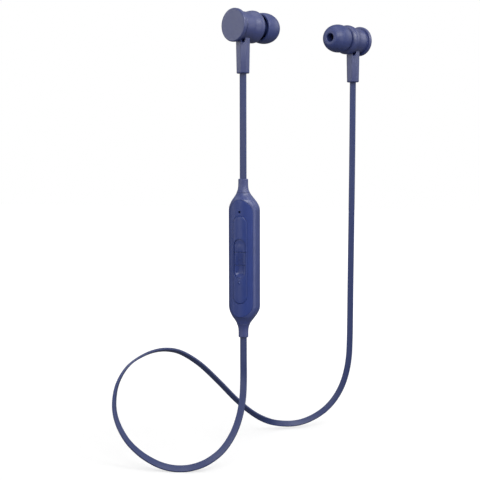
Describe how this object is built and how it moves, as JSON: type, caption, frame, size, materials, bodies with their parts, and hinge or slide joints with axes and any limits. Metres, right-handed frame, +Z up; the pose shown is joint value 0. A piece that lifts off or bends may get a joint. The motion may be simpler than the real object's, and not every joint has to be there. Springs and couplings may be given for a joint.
{
  "type": "neckband earphones",
  "caption": "In-ear earphones joined by a flat cord, with an in-line control and battery module under one earbud.",
  "frame": {"origin": "middle of the left earbud, where its axis meets the axis of its stem; the ear holds the part there", "axes": "+Z up along the left stem, cord and module; -Y is the side of the module with the keys; +X to the right of the keys"},
  "size_m": [0.0762, 0.1085, 0.1777],
  "materials": {
    "indigo_plastic": "satin moulded indigo plastic",
    "indigo_key": "satin moulded indigo key",
    "indigo_rubber": "matte indigo elastomer",
    "indigo_silicone": "soft satin silicone",
    "bright_steel": "bright plated steel",
    "dark_mesh": "dark woven metal",
    "clear_film": "thin film",
    "board_green": "green solder mask",
    "cell_foil": "foil pouch",
    "lamp_white": "milky light window"
  },
  "bodies": {
    "earphones": {"left_cap": "indigo_plastic", "left_housing": "indigo_plastic", "left_stem": "indigo_plastic", "left_driver": "bright_steel", "left_diaphragm": "clear_film", "left_nozzle_mesh": "dark_mesh", "right_cap": "indigo_plastic", "right_housing": "indigo_plastic", "right_stem": "indigo_plastic", "right_driver": "bright_steel", "right_diaphragm": "clear_film", "right_nozzle_mesh": "dark_mesh", "rear_shell": "indigo_plastic", "front_cover": "indigo_plastic", "control_panel": "indigo_plastic", "volume_up_switch": "bright_steel", "function_switch": "bright_steel", "volume_down_switch": "bright_steel", "status_lamp": "lamp_white", "circuit_board": "board_green", "battery": "cell_foil", "microphone": "bright_steel", "charging_socket": "bright_steel", "top_boot": "indigo_rubber", "bottom_boot": "indigo_rubber", "left_cord": "indigo_rubber", "right_cord": "indigo_rubber"},
    "volume_up": {"volume_up_key": "indigo_key"},
    "function": {"function_key": "indigo_key"},
    "volume_down": {"volume_down_key": "indigo_key"},
    "port_cover": {"charging_port_cover": "indigo_rubber"},
    "left_tip": {"left_ear_tip": "indigo_silicone"},
    "right_tip": {"right_ear_tip": "indigo_silicone"}
  },
  "joints": [
    {"name": "volume_up_press", "type": "slide", "parent": "earphones", "child": "volume_up", "axis": [0, 1, 0], "range_m": [0, 0.00035], "stiffness_N_per_m": 3000},
    {"name": "function_press", "type": "slide", "parent": "earphones", "child": "function", "axis": [0, 1, 0], "range_m": [0, 0.00035], "stiffness_N_per_m": 3000},
    {"name": "volume_down_press", "type": "slide", "parent": "earphones", "child": "volume_down", "axis": [0, 1, 0], "range_m": [0, 0.00035], "stiffness_N_per_m": 3000},
    {"name": "port_cover_hinge", "type": "hinge", "parent": "earphones", "child": "port_cover", "pos_m": [-0.0058, 0.00155, -0.1063], "axis": [0, -1, 0], "range_deg": [0, 100]},
    {"name": "left_tip_pull", "type": "slide", "parent": "earphones", "child": "left_tip", "axis": [0.3338, 0.9426, 0], "range_m": [0, 0.007]},
    {"name": "right_tip_pull", "type": "slide", "parent": "earphones", "child": "right_tip", "axis": [-0.2672, -0.9636, 0], "range_m": [0, 0.007]}
  ]
}
